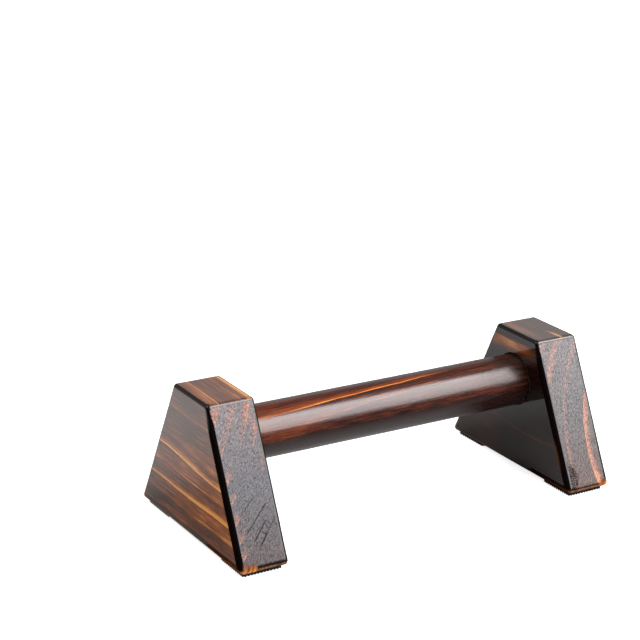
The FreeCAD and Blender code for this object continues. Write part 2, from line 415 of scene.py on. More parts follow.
def screw_surface(sizes):
    """Right-hand wood screw: points, faces.

    The head's face is a square grid whose lines follow the cross recess, and its depth is the
    deeper of two wedges at right angles. Its border opens to a circle, and rows of that circle go
    down the countersunk cone, the shank and the thread, whose radius is the core's plus a ridge
    that climbs one pitch for each turn, and close on the tip.
    """
    mouth, wing = sizes.drive_span / 2, sizes.drive_wing / 2
    floor, floor_wing = sizes.drive_floor_span / 2, sizes.drive_floor_wing / 2
    half = np.array([0.4 * floor_wing, floor_wing, wing, floor, mouth, 1.13 * mouth])
    lines = np.concatenate([-half[::-1], [0.0], half])
    a, b = np.meshgrid(lines, lines, indexing="ij")

    def wedge(length, width):
        by_length = (mouth - np.abs(length)) / (mouth - floor)
        by_width = (wing - np.abs(width)) / (wing - floor_wing)
        return sizes.drive_depth * np.clip(np.minimum(by_length, by_width), 0.0, 1.0)

    face, tip = SCREW_LOW.z, SCREW_HIGH.z
    cap = placed(a, b, face + np.maximum(wedge(a, b), wedge(b, a))).reshape(-1, 3)
    ids = np.arange(a.size).reshape(a.shape)
    loop = border(ids)
    around = len(loop)
    turn = -0.75 * math.pi + 2 * math.pi * np.arange(around) / around

    head, shank = SCREW_HEAD_RADIUS, sizes.shank_diameter / 2
    core, crest = sizes.core_diameter / 2, sizes.thread_diameter / 2
    rim = face + sizes.head_rim
    neck = rim + head - shank
    thread_start = tip - sizes.thread_length
    open_share = np.array([0.35, 0.7, 1.0])[:, None, None]
    circle = placed(head * np.cos(turn), head * np.sin(turn), face)
    opening = (1 - open_share) * cap[loop] + open_share * circle
    half_way = [(head + shank) / 2, (rim + neck) / 2]
    plain = np.array([[head, rim], half_way, [shank, neck], [shank, thread_start]])
    height = np.arange(thread_start, tip, sizes.thread_pitch / ROWS_PER_TURN)[1:-1, None]
    taper = np.clip((tip - height) / sizes.tip_length, 0.05, 1.0)
    climb = np.mod(height / sizes.thread_pitch - turn / (2 * math.pi), 1.0)
    ridge = np.clip(1 - np.abs(climb - 0.5) / RIDGE_HALF, 0.0, 1.0)
    run_in = np.clip((height - thread_start) / sizes.thread_pitch, 0.0, 1.0)
    thread = taper * core + (crest - core) * ridge * run_in * np.clip(1.4 * taper, 0.0, 1.0)
    radius = np.concatenate([np.repeat(plain[:, :1], around, axis=1), thread])
    z = np.concatenate([plain[:, 1:], height])
    rows = np.concatenate([opening, placed(radius * np.cos(turn), radius * np.sin(turn), z)])
    ring_ids = np.concatenate([loop[None], ids.size + np.arange(len(rows) * around).reshape(-1, around)])
    points = np.concatenate([cap, rows.reshape(-1, 3), [[0.0, 0.0, tip]]])
    cosine, sine = math.cos(sizes.drive_turn), math.sin(sizes.drive_turn)
    points[:, :2] = points[:, :2] @ np.array([[cosine, sine], [-sine, cosine]]) + [SCREW_AXIS, 0.0]
    quads = np.concatenate([sheet_faces(ids), ring_faces(ring_ids)])
    return points, [quads, fan_faces(ring_ids[-1], len(points) - 1)], {}


def foot_surface(low, high, sizes):
    """Ribbed pad between two corners of its box: points, faces.

    The grid runs across the ribs and along them. Each line along the ribs spans the chord that the
    rounded rectangle leaves it, and its height is the groove's, falling by a smooth step to the
    floor at each rib's crest. The same grid at the pad's top and walls between them close it.
    """
    low, high = np.array(low), np.array(high)
    centre = (low + high)[:2] / 2
    half = (high - low)[:2] / 2 - sizes.corner_radius
    turns = np.linspace(0.0, 2 * math.pi, PAD_AROUND, endpoint=False)
    ways = np.stack([np.cos(turns), np.sin(turns)], axis=1)
    outline = np.where(ways >= 0, half, -half) + sizes.corner_radius * ways
    along_rib = np.array([math.cos(sizes.rib_turn), math.sin(sizes.rib_turn)])
    across_rib = np.array([-along_rib[1], along_rib[0]])
    across, along = outline @ across_rib, outline @ along_rib
    start, end = np.argmin(across), np.argmax(across)
    walk = np.roll(np.arange(len(across)), -start)
    split = int(np.mod(end - start, len(across)))
    first, second = walk[: split + 1], np.append(walk[split:], walk[0])[::-1]

    pitch = sizes.rib_pitch
    crest, flank = sizes.rib_crest / 2, sizes.rib_flank
    step = np.append(crest * np.array([0.0, 0.6, 0.9]), crest + flank * np.linspace(0.0, 1.0, 6))
    step = np.append(step, pitch / 2)
    step = np.concatenate([-step[:0:-1], step])[:-1]
    reach = min(across.max(), -across.min()) - 0.02 * MILLIMETRE
    count = math.ceil(reach / pitch)
    s = (pitch * np.arange(-count, count + 1)[:, None] + step).reshape(-1)
    s = np.concatenate([[-reach], s[np.abs(s) < reach], [reach]])
    one = np.interp(s, across[first], along[first])
    other = np.interp(s, across[second], along[second])
    share = np.linspace(0.0, 1.0, PAD_ALONG)
    t = one[:, None] * (1 - share) + other[:, None] * share
    from_crest = np.abs(s - pitch * np.round(s / pitch))
    groove = np.clip((from_crest - crest) / flank, 0.0, 1.0)
    groove = groove * groove * (3 - 2 * groove)
    x, y = (centre + s[:, None, None] * across_rib + t[..., None] * along_rib).transpose(2, 0, 1)
    below = placed(x, y, (low[2] + sizes.rib_depth * groove)[:, None])
    above = placed(x, y, high[2])
    ids = np.arange(t.size).reshape(t.shape)
    sheet, around = sheet_faces(ids), border(ids)
    ahead = np.roll(around, -1)
    wall = np.stack([around, ahead, ahead + t.size, around + t.size], axis=-1)
    points = np.concatenate([below.reshape(-1, 3), above.reshape(-1, 3)])
    return points, [np.concatenate([sheet, sheet + t.size, wall])], {}


def add_piece(name, surface, material, nodes, sharp=math.radians(35)):
    """Mesh object from points, faces and measures, carried by the body and shown for its nodes."""
    points, faces, measures = surface
    used = np.unique(np.concatenate([part.reshape(-1) for part in faces]))
    place = np.full(len(points), -1)
    place[used] = np.arange(len(used))
    listed = [row for part in faces for row in place[part].tolist()]
    mesh = bpy.data.meshes.new(name)
    mesh.from_pydata(points[used].tolist(), [], listed)
    for measure, values in measures.items():
        layer = mesh.attributes.new(measure, "FLOAT", "POINT")
        layer.data.foreach_set("value", values[used].astype(np.float32))
    body = bmesh.new()
    body.from_mesh(mesh)
    bmesh.ops.recalc_face_normals(body, faces=body.faces)
    if body.calc_volume(signed=True) <= 0 or any(not edge.is_manifold for edge in body.edges):
        raise RuntimeError(f"{name} is not a closed surface that faces outwards")
    body.to_mesh(mesh)
    body.free()
    mesh.shade_smooth()
    mesh.set_sharp_from_angle(angle=sharp)
    mesh.materials.append(material)
    piece = bpy.data.objects.new(name, mesh)
    bpy.context.scene.collection.objects.link(piece)
    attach(piece, BODY)
    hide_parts(*nodes)
    return piece


def add_pair(name, surface, right, left, node):
    """A piece at the right end, and at the left the same half a turn about Z: X and Y change sign."""
    points, faces, measures = surface
    turned = (points * [-1.0, -1.0, 1.0], faces, measures)
    add_piece(name.format("right"), surface, right, [node.format("right")])
    add_piece(name.format("left"), turned, left, [node.format("left")])


# Shader helpers

STAND_TOP = 110.0  # millimetres
ORIGIN = BLACK = (0.0, 0.0, 0.0)
VALUE, VECTOR = "NodeSocketFloat", "NodeSocketVector"


def math_node(operation):
    """Method that adds a node for one operation on a term and other values."""
    return lambda term, *others: term.shade.math(operation, term, *others)


class Term:
    """A value in a shader tree. Arithmetic with it adds the nodes that work it out."""

    __add__, __sub__ = math_node("ADD"), math_node("SUBTRACT")
    __mul__, __truediv__ = math_node("MULTIPLY"), math_node("DIVIDE")
    __pow__, __abs__ = math_node("POWER"), math_node("ABSOLUTE")
    __lt__, __gt__ = math_node("LESS_THAN"), math_node("GREATER_THAN")

    def __init__(self, shade, socket):
        self.shade = shade
        self.socket = socket

    def __rsub__(self, other):
        return self.shade.math("SUBTRACT", other, self)

    def span(self, low, high, to_low=0.0, to_high=1.0, smooth=False):
        """The range from low to high carried over to another range, and held at its ends."""
        kind = "SMOOTHSTEP" if smooth else "LINEAR"
        values = {0: self, 1: low, 2: high, 3: to_low, 4: to_high}
        return self.shade.add("ShaderNodeMapRange", values, interpolation_type=kind)[0]

    def near(self, place, far, close):
        """1 within a close distance of a place, falling to 0 at a far one."""
        return abs(self - place).span(far, close)

    def table(self, levels):
        """Level at this height in millimetres, straight between the places of a table."""
        stops = [(place / STAND_TOP, (level,) * 3) for place, level in levels]
        return self.shade.ramp(self / STAND_TOP, stops)


class Shading:
    """Short calls that add nodes to one tree and join them."""

    def __init__(self, tree):
        self.tree = tree

    def fill(self, sockets, values):
        """Joins terms to named sockets, and sets other sockets to a number, a vector or a colour."""
        for key, value in values.items():
            if isinstance(value, Term):
                self.tree.links.new(value.socket, sockets[key])
            elif sockets[key].type == "RGBA":
                sockets[key].default_value = (*value, 1.0)
            else:
                sockets[key].default_value = value

    def add(self, kind, values, **settings):
        """New node with its settings and inputs: its outputs as terms, by number and by name."""
        node = self.tree.nodes.new(kind)
        for key, value in settings.items():
            setattr(node, key, value)
        self.fill(node.inputs, values)
        terms = [Term(self, socket) for socket in node.outputs]
        return {**dict(enumerate(terms)), **{term.socket.name: term for term in terms}}

    def math(self, operation, *values):
        return self.add("ShaderNodeMath", dict(enumerate(values)), operation=operation)[0]

    def most(self, largest, *others):
        """The largest of several values."""
        for other in others:
            largest = self.math("MAXIMUM", largest, other)
        return largest

    def vector(self, operation, *values):
        return self.add("ShaderNodeVectorMath", dict(enumerate(values)), operation=operation)

    def scaled(self, position, *factors):
        return self.vector("MULTIPLY", position, factors)[0]

    def length(self, position):
        return self.vector("LENGTH", position)["Value"]

    def distance(self, position, centre, *weights):
        """Distance from a centre, with a weight for each direction."""
        return self.length(self.scaled(self.vector("SUBTRACT", position, centre)[0], *weights))

    def parts(self, position):
        """X, Y and Z of a position."""
        split = self.add("ShaderNodeSeparateXYZ", {0: position})
        return split["X"], split["Y"], split["Z"]

    def joined(self, **parts):
        return self.add("ShaderNodeCombineXYZ", parts)[0]

    def mix(self, share, first, second, blend="MIX"):
        values = {0: share, 6: first, 7: second}
        return self.add("ShaderNodeMix", values, data_type="RGBA", blend_type=blend)[2]

    def blend(self, share, first, second):
        return self.add("ShaderNodeMix", {0: share, 2: first, 3: second}, data_type="FLOAT")[0]

    def noise(self, position, scale, detail=2.0, roughness=0.5):
        values = {"Vector": position, "Scale": scale, "Detail": detail, "Roughness": roughness}
        return self.add("ShaderNodeTexNoise", values)[0]

    def stretched(self, position, across, along, detail=2.0, roughness=0.5):
        """Noise drawn out along the grain (Y)."""
        return self.noise(self.scaled(position, across, along, across), 1.0, detail, roughness)

    def ramp(self, value, stops):
        """Colour at a value, straight between the stops."""
        node = self.tree.nodes.new("ShaderNodeValToRGB")
        self.fill(node.inputs, {0: value})
        elements = node.color_ramp.elements
        for number, (place, shown) in enumerate(stops):
            if number < 2:
                stop = elements[number]
                stop.position = place
            else:
                stop = elements.new(place)
            stop.color = (*shown, 1.0)
        return Term(self, node.outputs[0])

    def attribute(self, name):
        return self.add("ShaderNodeAttribute", {}, attribute_name=name)["Fac"]

    def group(self, effect, values):
        """One of the shared effects, with values for its inputs: its outputs."""
        tree = bpy.data.node_groups.get(effect.__name__) or effect_group(effect, EFFECT_INPUTS[effect])
        return self.add("ShaderNodeGroup", values, node_tree=tree)

    def bump(self, height):
        """Normal of a surface whose relief is given in millimetres."""
        return self.add("ShaderNodeBump", {"Height": height, "Strength": 1.0, "Distance": MILLIMETRE})[0]


class Paint(Shading):
    """A new material with a Principled shader and the piece's own coordinates in millimetres."""

    def __init__(self, name):
        self.material = bpy.data.materials.new(name)
        self.material.use_nodes = True
        super().__init__(self.material.node_tree)
        self.own = self.add("ShaderNodeTexCoord", {})["Object"]
        self.position = self.scaled(self.own, *(1 / MILLIMETRE,) * 3)

    def done(self, values):
        """The material, once its shader has these values."""
        shader = next(node for node in self.tree.nodes if node.type == "BSDF_PRINCIPLED")
        self.fill(shader.inputs, values)
        return self.material


# Effects that the wooden pieces share, all in millimetres


def effect_group(effect, inputs):
    """Shader group with these inputs and their defaults, and with the values of the effect as outputs."""
    tree = bpy.data.node_groups.new(effect.__name__, "ShaderNodeTree")
    for label, default in inputs.items():
        kind = VECTOR if isinstance(default, tuple) else VALUE
        tree.interface.new_socket(name=label, in_out="INPUT", socket_type=kind).default_value = default
    shade = Shading(tree)
    entry = shade.add("NodeGroupInput", {})
    values = effect(shade, *(entry[label] for label in inputs))
    for label in values:
        tree.interface.new_socket(name=label, in_out="OUTPUT", socket_type=VALUE)
    shade.fill(tree.nodes.new("NodeGroupOutput").inputs, values)
    return tree


def growth_rings(shade, position, heart, wander, tremble):
    """Distance from the tree's heart, wandering slowly along the grain (Y)."""
    slow = shade.stretched(position, 0.03, 0.011, 1.0)
    quick = shade.stretched(position, 0.35, 0.045, 4.0, 0.65)
    radius = shade.distance(position, heart, 1.0, 0.0, 1.0)
    radius = radius + (slow - 0.5) * wander + (quick - 0.5) * tremble
    return {"Radius": radius, "Patch": shade.stretched(position, 0.07, 0.022)}


def fibre_streaks(shade, position):
    """Fine fibres, stain streaks and broad clouds, all stretched along the grain (Y)."""
    return {
        "Fibres": shade.stretched(position, 1.15, 0.04, 4.0, 0.65),
        "Streaks": shade.stretched(position, 0.95, 0.02, 3.0, 0.6),
        "Cloud": shade.stretched(position, 0.09, 0.035),
    }


def worn_edge(shade, position, edge, width, fade, ragged, grain_size):
    """Mask that is 1 on an edge and fades within a ragged width."""
    distance = edge + (shade.noise(position, grain_size, 3.0, 0.6) - 0.5) * ragged * 2.0
    return {"Mask": distance.span(width + fade, width, smooth=True)}


def end_grain(shade, position, ring_turn, crumble_place, crumble_size):
    """Cut fibres of end grain: short specks across the rings, open pits, and a place that crumbled."""
    turning = {"Vector": position, "Angle": ring_turn}
    turned = shade.add("ShaderNodeVectorRotate", turning, rotation_type="Y_AXIS")[0]
    pits = shade.noise(position, 1.1, 4.0, 0.7)
    gone = shade.distance(position, crumble_place, 1.6, 0.0, 1.0) / crumble_size
    return {
        "Specks": shade.noise(shade.scaled(turned, 0.6, 0.4, 1.7), 1.0, 3.0, 0.8),
        "Pits": pits,
        "Crumble": pits.span(0.54, 0.5) * gone.span(1.0, 0.7, smooth=True),
    }


EFFECT_INPUTS = {
    growth_rings: {"Position": ORIGIN, "Heart": ORIGIN, "Wander": 1.0, "Tremble": 2.0},
    fibre_streaks: {"Position": ORIGIN},
    worn_edge: {
        "Position": ORIGIN,
        "Edge": 10.0,
        "Width": 3.0,
        "Fade": 0.6,
        "Ragged": 0.8,
        "Grain Size": 1.0,
    },
    end_grain: {"Position": ORIGIN, "Ring Turn": 0.7, "Crumble Place": ORIGIN, "Crumble Size": 12.0},
}


# Materials


def ring_strength(shade, radius, lines):
    """Late-wood strength over the radius: each line rises on its soft side and drops at once outside."""
    low = lines[0][0] - lines[0][2] - 4.0
    high = lines[-1][0] + 4.0
    levels = []
    for line, strength, halo, core in lines:
        levels += [
            (line - halo, 0.0),
            (line - core, 0.42 * strength),
            (line - 0.1 * core, strength),
            (line + 0.45, 0.0),
        ]
    stops = [((place - low) / (high - low), (level,) * 3) for place, level in levels]
    return shade.ramp(radius.span(low, high), stops)


def crack_mask(shade, position, cracks):
    """Straight cracks in the front end grain: full near each crack's line, 0 beyond its half width."""
    bent = (shade.noise(position, 0.6, 3.0, 0.6) - 0.5) * 1.6
    flat = shade.vector("ADD", shade.scaled(position, 1.0, 0.0, 1.0), shade.joined(X=bent, Z=bent))[0]
    masks = [0.0]
    for x, z, to_x, to_z, half_width, strength in cracks:
        run = Vector((to_x - x, 0.0, to_z - z))
        way = tuple(run.normalized())
        gone = shade.vector("SUBTRACT", flat, (x, 0.0, z))[0]
        along = shade.vector("DOT_PRODUCT", gone, way)["Value"].span(0.0, run.length, 0.0, run.length)
        foot = shade.add("ShaderNodeVectorMath", {0: way, "Scale": along}, operation="SCALE")[0]
        off = shade.vector("DISTANCE", gone, foot)["Value"]
        masks.append(off.span(half_width, 0.3 * half_width, 0.0, strength))
    return (shade.parts(position)[1] < 0.0) * shade.most(*masks)


def grain_colour(shade, tone, *colours):
    """Stained wood from its darkest to its brightest, by tone."""
    return shade.ramp(tone, zip((0.0, 0.28, 0.55, 0.85), colours))


class BlockFinish(Paint):
    """Lacquered block: rings in solid wood, glossy long grain, rough pale end grain with painted sheen,
    dark edges that are partly painted dark reflection, and a painted shadow on the inner face.

    Places, heights and widths in its methods are millimetres in the stand's own coordinates.
    """

    BEND_HEIGHTS = ((44.0, 0.0), (54.0, 1.0), (72.0, 1.0), (86.0, 0.0))
    HALF_THICKNESS = 19.0
    SINK_REACH = 6.0  # just beyond the countersink's rim
    SHADED_RAW_WOOD = (0.35, 0.17, 0.07)

    def __init__(self, name, wood, looks):
        super().__init__(name)
        self.wood, self.looks = wood, looks
        self.x, self.y, self.z = self.parts(self.position)
        measures = ("upward", "end_grain", "edge")
        self.upward, self.end_share, self.edge_distance = map(self.attribute, measures)
        self.crown = self.upward.span(0.6, 0.95)
        self.fibre = self.group(fibre_streaks, {"Position": self.position})
        tearing = {"Ring Turn": wood["ring_turn"], "Crumble Place": wood["crumble_place"]}
        self.torn = self.group(end_grain, {"Position": self.position, **tearing})
        self.fleck = self.torn["Specks"].span(0.34, 0.66, 0.25, 1.75)
        self.cracks = crack_mask(self, self.position, wood["cracks"])
        ragged = self.end_share + (self.torn["Pits"] - 0.5) * 0.3
        self.end_mask = ragged.span(0.42, 0.78, smooth=True)
        self.long_share = 1.0 - self.end_mask

    def rings(self):
        """Late-wood strength along the grain and in the end grain."""
        wood = self.wood
        growing = {"Heart": wood["heart"], "Wander": wood["wander"], "Tremble": 1.5}
        growth = self.group(growth_rings, {"Position": self.position, **growing})
        bend = self.y.span(-48.0, 40.0, *wood["bend"], smooth=True) * self.z.table(self.BEND_HEIGHTS)
        radius = growth["Radius"] + bend
        patchy = growth["Patch"].span(0.3, 0.65, 0.6, 1.1)
        return [ring_strength(self, radius, wood[lines]) * patchy for lines in ("lines", "end_lines")]

    def long_faces(self, rings):
        """Colour along the grain: rings, fibres, the painted shadow on the inner face and the painted sheen
        on the crown.
        """
        wood, looks, fibre = self.wood, self.looks, self.fibre
        x, y, z, crown = self.x, self.y, self.z, self.crown
        downward = self.upward.span(-0.5, -0.9)
        # Lines dim where painted shade falls, except on the outer face and the underside.
        shown = self.most(z.span(*wood["lines_painted_light_by_height"]), x.span(130.0, 145.0), downward)
        crown_line, crown_base = wood["crown"]
        line = rings * shown * y.span(*wood["lines_painted_light_by_length"]) * self.blend(crown, 1.0, crown_line)
        figure = (fibre["Streaks"] - 0.48) + (fibre["Fibres"] - 0.5) * 0.9 + (fibre["Cloud"] - 0.48) * 0.5
        figure = figure * z.span(60.0, 85.0, 1.0, 0.65)
        base = z.table(wood["base"]) * y.span(*wood["base_by_length"])
        base = base - downward * 0.06 + crown * crown_base
        streak = (x + y * 0.06).near(145.2, 3.0, 0.6) * y.span(-3.0, -16.0) * crown
        tone = line + base + figure * wood["figure"] + streak * wood["crown_streak"]
        from_dip = y + 23.5
        inner_face = x.span(126.0, 123.5)
        stray = (z - from_dip * from_dip * 0.0021).near(33.0, 1.3, 0.2) * inner_face
        stray = stray * fibre["Cloud"].span(0.25, 0.5, 0.35, 1.0) * wood["inner_line"]
        # Painted shadow: the inner face darkens below the bar's shadow line, less towards the rear.
        shadow = inner_face * z.span(95.0, 87.0, 0.0, wood["inner_painted_shadow"]) * y.span(8.0, 20.0, 1.0, 0.45)
        stains = (looks.stain_dark, looks.stain_brown, looks.stain_orange, looks.stain_amber)
        finish = self.mix(shadow, grain_colour(self, tone, *stains), looks.stain_and_painted_shade)
        finish = self.mix(stray, finish, looks.stain_orange)
        # Painted sheen: grey mixed into the crown's colour in place of the lacquer's reflection.
        return self.mix(crown * wood["painted_sheen_share"], finish, looks.painted_sheen_colour)

    def sawn_ends(self, rings):
        """Colour of the sawn ends: grey of dark stain with painted sheen, lighter upwards as painted light,
        rings towards the faces, flecks, cracks and a torn corner.
        """
        wood, looks, x, z = self.wood, self.looks, self.x, self.z
        off_middle = (x - wood["end_middle"]) / self.HALF_THICKNESS
        fade = abs(off_middle).span(0.3, 1.0, z.span(*wood["end_fade"]), 1.0, smooth=True)
        inner_fade = z.table(wood["end_inner_fade"]) * 1.6
        fade = fade * self.blend(off_middle.span(0.0, 0.3), 1.0, inner_fade)
        glow_x, glow_z, glow_width, glow_height = wood["end_glow"]
        glow_place = self.joined(X=(x - glow_x) / glow_width, Z=(z - glow_z) / glow_height)
        glow = self.length(glow_place).span(1.0, 0.3, smooth=True) * wood["end_glow_strength"]
        tone = rings**0.6 * fade + glow + (self.torn["Specks"] - 0.5) * 0.45
        # Grey of the end grain: dark stain with painted sheen, made lighter upwards as painted light.
        greys = self.ramp(z.span(3.0, STAND_TOP), zip((0.05, 0.5, 0.95), wood["end_greys_with_painted_sheen"]))
        finish = self.mix(tone.span(0.12, 0.6), greys, looks.end_grain_pink)
        finish = self.mix(tone.span(0.6, 1.0), finish, looks.end_grain_orange)
        finish = self.mix(1.0, finish, self.fleck, "MULTIPLY")
        crumble = self.torn["Crumble"] * self.y.span(0.0, -10.0, 0.0, wood["crumble"])
        return self.mix(self.most(self.cracks, crumble), finish, looks.stain_and_painted_shade)

    def darken_edges(self, finish):
        """Stain gathered on the edges, deepened and widened on the low X side and the front as painted dark
        reflection: the finish, the edges' mask and the front ones' extra width.
        """
        y, z, low_face = self.y, self.z, self.wood["low_face"]
        # The front edges widen the dark as painted dark reflection.
        wide = y.span(-22.0, -30.0, 0.0, 1.8) * self.long_share
        wearing = {
            "Position": self.position,
            "Edge": self.edge_distance,
            "Width": wide + z.span(97.0, 103.0, 3.2, 2.0),
            "Fade": 0.4,
            "Ragged": self.blend(self.end_mask, 0.3, 1.5),
            "Grain Size": 0.8,
        }
        edge = self.group(worn_edge, wearing)["Mask"]
        # Edges along the low X face darken fully as painted dark reflection; top edges less.
        low_side = self.x.span(low_face + 3.6, low_face + 2.6, 0.0, 0.95)
        side = self.most(self.upward.span(0.46, 0.7, 1.0, 0.25), low_side)
        side = side * z.span(5.0, 7.5, 0.1, 1.0) * self.most(z.span(6.0, 9.5), y.span(-67.0, -71.0))
        return self.mix(edge * side, finish, self.looks.stain_and_painted_shade), edge, wide

    def sand_feet(self, finish):
        """Lower edges: dark stain, a strip sanded bare, and a bright toothed patch at one corner."""
        wood, looks, x, z = self.wood, self.looks, self.x, self.z
        low_face, dark_top, sanded_top = wood["low_face"], wood["foot_dark"], wood["foot_sanded"]
        uneven = (self.torn["Specks"] - 0.5) * 3.0
        height, teeth = z + uneven, z + uneven * 3.5
        at_end = self.end_share.span(0.3, 0.7)
        corner = (x + uneven * 2.2).span(*wood["foot_corner"]) * at_end
        gathered = height.span(dark_top + 0.2, dark_top - 0.6) * (1.0 - corner) * at_end
        finish = self.mix(gathered * 0.95, finish, looks.stain_and_painted_shade)
        stops = ((0.0, looks.stain_brown), (0.4, looks.stain_orange), (0.95, looks.sanded_foot))
        tooth = self.noise(self.joined(X=x * 0.5 - z * 0.22, Y=3.7), 1.0)
        bright = self.ramp(teeth.span(10.5, 4.0), stops)
        bright = self.mix(tooth.span(0.54, 0.44, 0.0, 0.8), bright, looks.stain_brown)
        bright = self.mix(0.7, bright, self.fleck, "MULTIPLY")
        patch = corner * teeth.span(10.2, 9.2) * x.span(low_face + 1.6, low_face + 2.6)
        by_front = self.y.span(-40.0, -60.0, 0.15, 0.6)
        sanded = height.span(sanded_top, sanded_top - 0.8) * height.span(4.5, 5.2, 0.1, 1.0)
        sanded = sanded * self.end_share.span(0.2, 0.6, by_front, 1.0) * corner.span(0.0, 1.0, 0.5, 1.0)
        return self.mix(self.most(sanded, patch) * 0.9, finish, bright)

    def rub_edges(self, finish, edge):
        """Edges rubbed to orange at the rear foot, and a red place beside the front edge."""
        y, z = self.y, self.z
        rubbed = edge * y.span(64.0, 70.0) * z.span(18.0, 12.0) * 0.55
        red_place = self.edge_distance.near(4.6, 1.8, 0.4) * z.near(30.0, 12.0, 2.0) * self.long_share
        red_place = red_place * y.span(-20.0, -40.0, 0.0, self.wood["edge_glow"])
        return self.mix(self.most(rubbed, red_place), finish, self.looks.stain_orange)

    def paint_mouth_highlight(self, finish):
        """Painted highlight of pale grey round the socket's mouth, on its front half."""
        from_axis = self.distance(self.position, (0.0, 0.0, BAR_AXIS / MILLIMETRE), 0.0, 1.0, 1.0)
        mouth = from_axis < BAR_RADIUS / MILLIMETRE + 1.0
        inner_side = abs(self.x) < BLOCK_LOW.x / MILLIMETRE + 2.0
        mouth = mouth * inner_side * self.y.span(0.0, -14.0, 0.0, 0.8)
        return self.mix(mouth, finish, self.looks.mouth_painted_highlight)

    def bare_hole(self):
        """Mask of the cut wood in the screw hole."""
        axis = abs(self.x) - SCREW_AXIS / MILLIMETRE
        in_hole = self.length(self.joined(X=axis, Y=self.y)) < self.SINK_REACH
        above = self.z > BLOCK_LOW.z / MILLIMETRE + 0.12
        below = self.z < BAR_AXIS / MILLIMETRE
        return in_hole * above * below * axis.span(-2.6, -1.0)

    def whole(self):
        """The finished material."""
        end_mask, fibres = self.end_mask, self.fibre["Fibres"]
        specks, pits = self.torn["Specks"], self.torn["Pits"]
        long_rings, end_rings = self.rings()
        finish = self.mix(end_mask, self.long_faces(long_rings), self.sawn_ends(end_rings))
        finish, edge, wide = self.darken_edges(finish)
        finish = self.paint_mouth_highlight(self.rub_edges(self.sand_feet(finish), edge))
        bare = self.bare_hole()
        raw = self.mix(fibres, self.looks.raw_wood, self.SHADED_RAW_WOOD)
        matt = self.most(end_mask * (1.0 - edge) * 0.9, edge * wide * 0.556, bare)
        relief = self.blend(end_mask, fibres * 0.015, specks * 0.14 + pits * 0.1 - self.cracks * 0.3)
        values = {
            "Base Color": self.mix(bare, finish, raw),
            "Roughness": self.blend(end_mask, 0.42, pits.span(0.3, 0.7, 0.3, 0.55)),
            "Coat Weight": 1.0 - matt,
            "Coat Roughness": 0.07,
            "Specular IOR Level": 0.0,
            "Normal": self.bump(relief),
        }
        return self.done(values)


def bar_wood(looks):
    """Lacquered round bar: rings lie almost flat along it and run out slowly, so one line drifts. Its tone
    carries painted shade below its middle, on its back and near the right block.
    """
    paint = Paint("bar_wood")
    x, y, z = paint.parts(paint.position)
    along = paint.joined(X=y - x * 0.053, Y=x, Z=z)
    growing = {"Heart": BAR_WOOD["heart"], "Wander": 3.2, "Tremble": 0.8}
    growth = paint.group(growth_rings, {"Position": paint.scaled(along, 1.0, 2.2, 1.0), **growing})
    fibre = paint.group(fibre_streaks, {"Position": along})
    fibres, streaks = fibre["Fibres"], fibre["Streaks"]
    line = ring_strength(paint, growth["Radius"], BAR_WOOD["lines"])
    line = line * x.span(20.0, 70.0, 1.0, 0.15, smooth=True) * x.span(-112.0, -60.0, 0.35, 1.0)
    # Painted shade: the tone is a little higher above the bar's middle and falls on its lower side.
    below = z.span(74.5, 65.5, 0.10, -0.30, smooth=True)
    # Painted shade on the back of the bar.
    behind = y.span(-4.0, 6.0, -0.03, -0.2, smooth=True)
    # Painted shade near the right block.
    right_end = x.span(84.0, 112.0, 0.0, -0.10, smooth=True)
    left_end = x.span(-105.0, -45.0, 0.12, 0.0, smooth=True)
    tone = line + (streaks - 0.44) * 0.7 + (fibres - 0.5) * 0.4 + below + behind + right_end + left_end
    stains = (looks.bar_dark, looks.bar_red, looks.bar_orange, looks.bar_amber)
    dull_end = x.span(60.0, 108.0, smooth=True)
    peel = paint.noise(paint.position, 0.8, 3.0, 0.6)
    values = {
        "Base Color": grain_colour(paint, tone, *stains),
        "Roughness": fibres.span(0.3, 0.7, 0.16, 0.3) + dull_end * 0.04,
        "Coat Weight": dull_end.span(0.0, 1.0, 0.25, 0.05),
        "Coat Roughness": 0.06,
        "Specular IOR Level": 0.5,
        "Normal": paint.bump(fibres * 0.05 + streaks * 0.06 + peel * 0.07),
    }
    return paint.done(values)


def pad_rubber(looks):
    """Moulded rubber: soft cloudy grey dust on black, a fine grain, and ribs a little polished."""
    paint = Paint("pad_rubber")
    dust = paint.noise(paint.position, 0.35, 4.0, 0.6)
    grain = paint.noise(paint.position, 6.0, 2.0, 0.6)
    crest = paint.parts(paint.position)[2].span(0.25, 0.0)
    finish = paint.mix(dust.span(0.45, 0.75, 0.0, 0.3), looks.rubber, looks.rubber_dust)
    values = {
        "Base Color": paint.mix(crest * 0.35, finish, looks.rubber_dust),
        "Roughness": grain.span(0.3, 0.7, 0.5, 0.75),
        "Specular IOR Level": 0.15,
        "Normal": paint.bump(grain * 0.05),
    }
    return paint.done(values)


def screw_steel(looks):
    """Phosphated steel: blue-grey with cloudy darker crystals and bare metal where it is rubbed."""
    paint = Paint("screw_steel")
    crystals = paint.noise(paint.position, 3.0, 4.0, 0.7)
    rubbed = paint.noise(paint.position, 0.9, 3.0, 0.6)
    values = {
        "Base Color": paint.mix(crystals.span(0.35, 0.65), looks.steel_dark, looks.steel),
        "Metallic": rubbed.span(0.55, 0.7, 0.75, 1.0),
        "Roughness": crystals.span(0.3, 0.7, 0.3, 0.5),
        "Normal": paint.bump(crystals * 0.02),
    }
    return paint.done(values)


